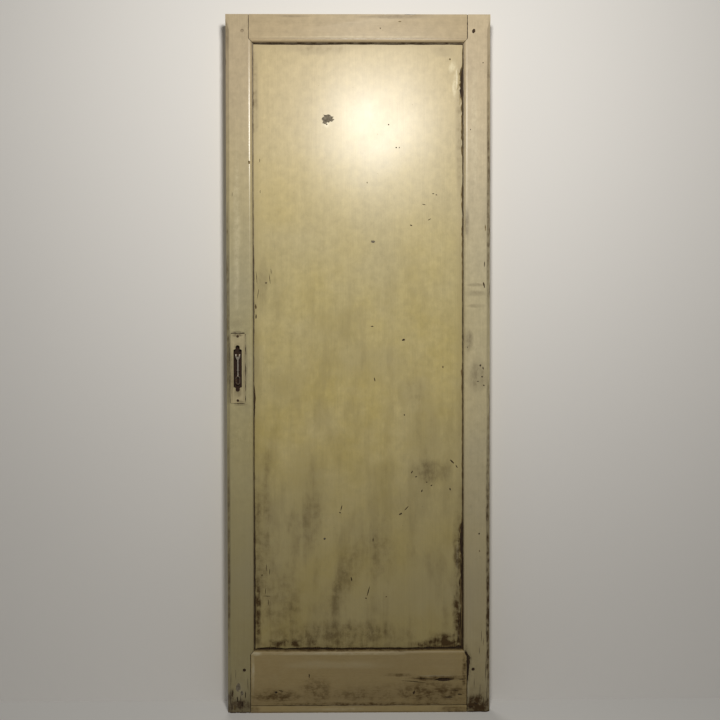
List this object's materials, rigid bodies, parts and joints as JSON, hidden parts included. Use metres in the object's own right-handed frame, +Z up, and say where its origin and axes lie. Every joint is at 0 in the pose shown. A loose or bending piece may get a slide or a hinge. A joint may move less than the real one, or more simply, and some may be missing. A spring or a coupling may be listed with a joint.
{
  "type": "interior door",
  "caption": "Old painted sliding door leaf with one flat panel, moulded frame, sunk flush pulls, a folding key and a hook lock.",
  "frame": {"origin": "middle of the leaf's bottom edge, on the floor side", "axes": "+X to the right as the front shows it, +Y from the front face to the back face, +Z up"},
  "size_m": [0.76, 0.0392, 2.015],
  "materials": {
    "painted_wood": "aged cream gloss enamel over softwood, chipped and dirty",
    "bare_wood": "bare end grain, darkened",
    "cast_iron_pull": "painted plate, rusty dark cup",
    "key_steel": "worn plated steel",
    "lock_steel": "dull old steel"
  },
  "bodies": {
    "leaf": {"back_pull": "cast_iron_pull", "back_pull_screw_lower": "lock_steel", "back_pull_screw_upper": "lock_steel", "bottom_left_wedge_1": "bare_wood", "bottom_left_wedge_2": "bare_wood", "bottom_left_wedge_3": "bare_wood", "bottom_left_wedge_4": "bare_wood", "bottom_rail": "painted_wood", "bottom_right_wedge_1": "bare_wood", "bottom_right_wedge_2": "bare_wood", "bottom_right_wedge_3": "bare_wood", "bottom_right_wedge_4": "bare_wood", "cover_screw_lower": "lock_steel", "cover_screw_upper": "lock_steel", "forend_screw_lower": "lock_steel", "forend_screw_upper": "lock_steel", "front_pull": "cast_iron_pull", "front_pull_screw_lower": "lock_steel", "front_pull_screw_upper": "lock_steel", "hook_stud": "lock_steel", "key_shank": "key_steel", "left_stile": "painted_wood", "lock_case": "lock_steel", "lock_cover": "lock_steel", "lock_forend": "lock_steel", "panel": "painted_wood", "peg_bottom_left": "bare_wood", "peg_bottom_right": "bare_wood", "peg_top_left": "bare_wood", "peg_top_right": "bare_wood", "rail_strip": "painted_wood", "right_stile": "painted_wood", "spring_washer": "lock_steel", "strip_nail_1": "lock_steel", "strip_nail_2": "lock_steel", "strip_nail_3": "lock_steel", "top_left_wedge_lower": "bare_wood", "top_left_wedge_upper": "bare_wood", "top_rail": "painted_wood", "top_right_wedge_lower": "bare_wood", "top_right_wedge_upper": "bare_wood"},
    "bow": {"key_bow": "key_steel", "key_pin": "key_steel"},
    "hook": {"hook_bolt": "lock_steel"}
  },
  "joints": [
    {"name": "bow_fold", "type": "hinge", "parent": "leaf", "child": "bow", "pos_m": [-0.348, -0.014, 1.038], "axis": [-1, 0, 0], "range_deg": [0, 90]},
    {"name": "hook_swing", "type": "hinge", "parent": "leaf", "child": "hook", "pos_m": [-0.365, 0, 1.01], "axis": [0, 1, 0], "range_deg": [0, 70]}
  ]
}
